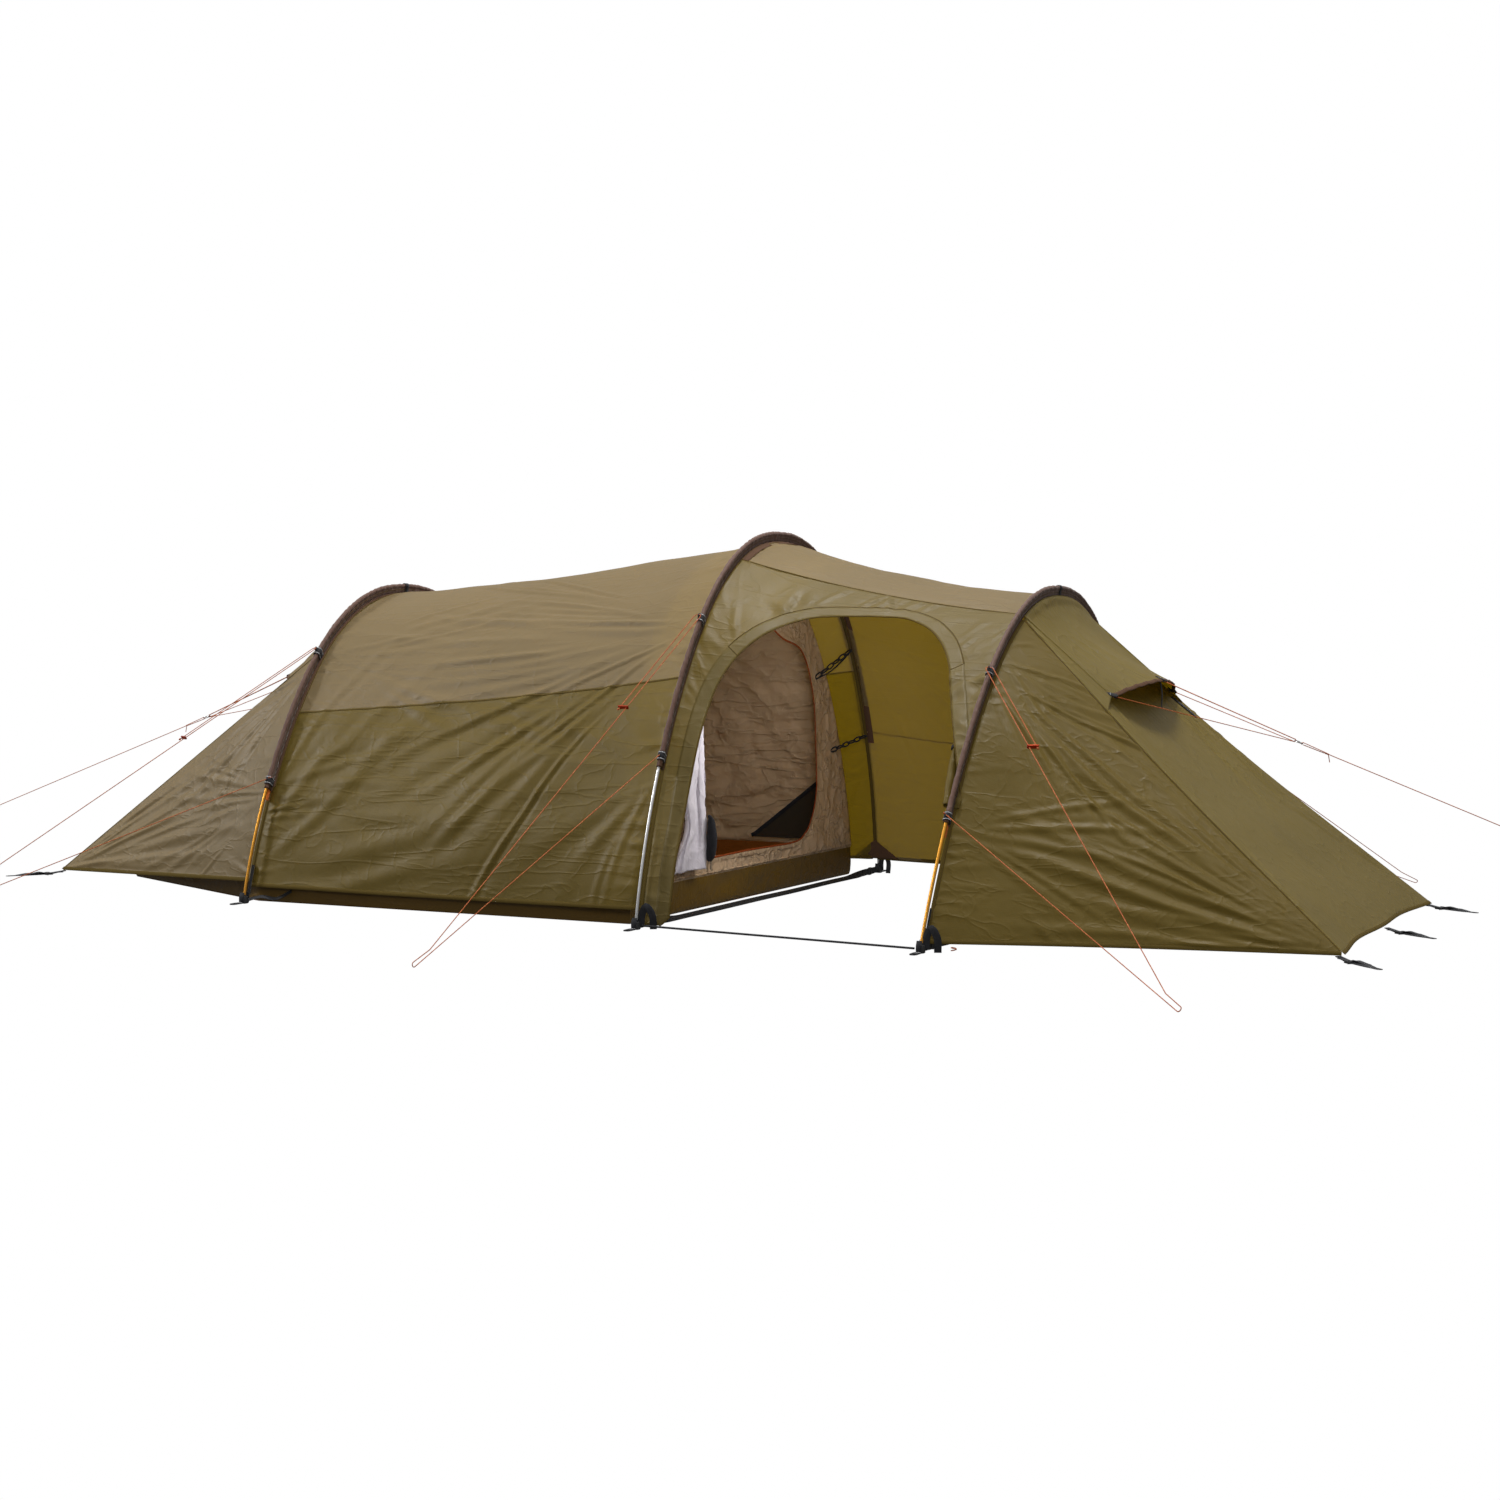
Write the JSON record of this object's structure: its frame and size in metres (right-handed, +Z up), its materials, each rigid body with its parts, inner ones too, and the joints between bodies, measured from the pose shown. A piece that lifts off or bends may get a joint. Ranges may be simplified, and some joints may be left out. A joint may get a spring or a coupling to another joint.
{
  "type": "three-hoop tunnel tent",
  "caption": "Low tunnel tent on bent hoops, with sleeves, sloping guyed ends, an open side door and porch, and an inner tent with a raised tub floor.",
  "frame": {"origin": "middle of the footprint on the ground, guylines left out", "axes": "+X towards the porch end along the tent's length, -Y towards the side with the fly door, +Z up"},
  "size_m": [5.3809, 3.8752, 1.1565],
  "materials": {
    "fly_tan": "coated ripstop, satin",
    "fly_olive": "coated ripstop, satin",
    "sleeve_brown": "woven, matte",
    "pole_gold": "anodised gold",
    "pole_silver": "anodised silver",
    "inner_cream": "breathable nylon, matte",
    "inner_grey": "breathable nylon, matte",
    "tub_brown": "coated groundsheet, satin",
    "webbing": "woven webbing",
    "steel": "plain metal",
    "cord_orange": "braided cord",
    "runner_red": "anodised red",
    "buckle_black": "moulded"
  },
  "bodies": {
    "tent": {"main_roof": "fly_tan", "vestibule_roof": "fly_tan", "front_vent_hood": "fly_tan", "rear_vent_hood": "fly_tan", "main_near_wall": "fly_olive", "main_far_wall": "fly_olive", "door_side_panel": "fly_olive", "front_near_panel": "fly_olive", "front_centre_panel": "fly_olive", "front_far_panel": "fly_olive", "rear_end_fly": "fly_olive", "fly_door_roll": "fly_olive", "rear_pole_sleeve": "sleeve_brown", "middle_pole_sleeve": "sleeve_brown", "front_pole_sleeve": "sleeve_brown", "rear_pole": "pole_gold", "front_pole": "pole_gold", "middle_pole": "pole_silver", "inner_canopy": "inner_cream", "inner_front_wall": "inner_cream", "inner_door_roll": "inner_grey", "inner_floor_tub": "tub_brown", "middle_width_strap": "webbing", "front_width_strap": "webbing", "threshold_cord": "webbing", "rear_near_foot": "webbing", "rear_far_foot": "webbing", "middle_near_foot": "webbing", "middle_far_foot": "webbing", "front_near_foot": "webbing", "front_far_foot": "webbing", "front_guy_ring": "steel", "rear_guy_ring": "steel", "front_bridle": "cord_orange", "rear_bridle": "cord_orange", "front_centre_guyline": "cord_orange", "rear_centre_guyline": "cord_orange", "rear_near_guyline": "cord_orange", "rear_far_guyline": "cord_orange", "middle_near_guyline": "cord_orange", "middle_far_guyline": "cord_orange", "front_near_guyline": "cord_orange", "front_far_guyline": "cord_orange", "front_near_buckle": "buckle_black", "front_centre_buckle": "buckle_black", "front_far_buckle": "buckle_black", "rear_near_buckle": "buckle_black", "rear_far_buckle": "buckle_black"},
    "rear_near_runner": {"rear_near_line_runner": "runner_red"},
    "rear_far_runner": {"rear_far_line_runner": "runner_red"},
    "middle_near_runner": {"middle_near_line_runner": "runner_red"},
    "middle_far_runner": {"middle_far_line_runner": "runner_red"},
    "front_near_runner": {"front_near_line_runner": "runner_red"},
    "front_far_runner": {"front_far_line_runner": "runner_red"},
    "front_near_strap": {"front_near_peg_strap": "webbing"},
    "front_centre_strap": {"front_centre_peg_strap": "webbing"},
    "front_far_strap": {"front_far_peg_strap": "webbing"},
    "rear_near_strap": {"rear_near_peg_strap": "webbing"},
    "rear_far_strap": {"rear_far_peg_strap": "webbing"},
    "inner_zip": {"inner_door_zip_slider": "steel"}
  },
  "joints": [
    {"name": "rear_near_runner_slide", "type": "slide", "parent": "tent", "child": "rear_near_runner", "axis": [0.445, 0.7178, 0.5355], "range_m": [0, 0.2]},
    {"name": "rear_far_runner_slide", "type": "slide", "parent": "tent", "child": "rear_far_runner", "axis": [0.445, -0.7178, 0.5355], "range_m": [0, 0.2]},
    {"name": "middle_near_runner_slide", "type": "slide", "parent": "tent", "child": "middle_near_runner", "axis": [0.0915, 0.8308, 0.549], "range_m": [0, 0.2]},
    {"name": "middle_far_runner_slide", "type": "slide", "parent": "tent", "child": "middle_far_runner", "axis": [0.0915, -0.8308, 0.549], "range_m": [0, 0.2]},
    {"name": "front_near_runner_slide", "type": "slide", "parent": "tent", "child": "front_near_runner", "axis": [-0.527, 0.7136, 0.4616], "range_m": [0, 0.2]},
    {"name": "front_far_runner_slide", "type": "slide", "parent": "tent", "child": "front_far_runner", "axis": [-0.5858, -0.6192, 0.523], "range_m": [0, 0.2]},
    {"name": "front_near_strap_adjust", "type": "slide", "parent": "tent", "child": "front_near_strap", "axis": [0.6691, -0.7431, 0], "range_m": [0, 0.04]},
    {"name": "front_centre_strap_adjust", "type": "slide", "parent": "tent", "child": "front_centre_strap", "axis": [0.766, -0.6428, 0], "range_m": [0, 0.04]},
    {"name": "front_far_strap_adjust", "type": "slide", "parent": "tent", "child": "front_far_strap", "axis": [0.848, -0.5299, 0], "range_m": [0, 0.04]},
    {"name": "rear_near_strap_adjust", "type": "slide", "parent": "tent", "child": "rear_near_strap", "axis": [-0.4695, -0.8829, 0], "range_m": [0, 0.04]},
    {"name": "rear_far_strap_adjust", "type": "slide", "parent": "tent", "child": "rear_far_strap", "axis": [-0.4695, 0.8829, 0], "range_m": [0, 0.04]},
    {"name": "inner_zip_slide", "type": "slide", "parent": "tent", "child": "inner_zip", "axis": [0, 1, 0], "range_m": [0, 0.55]}
  ]
}
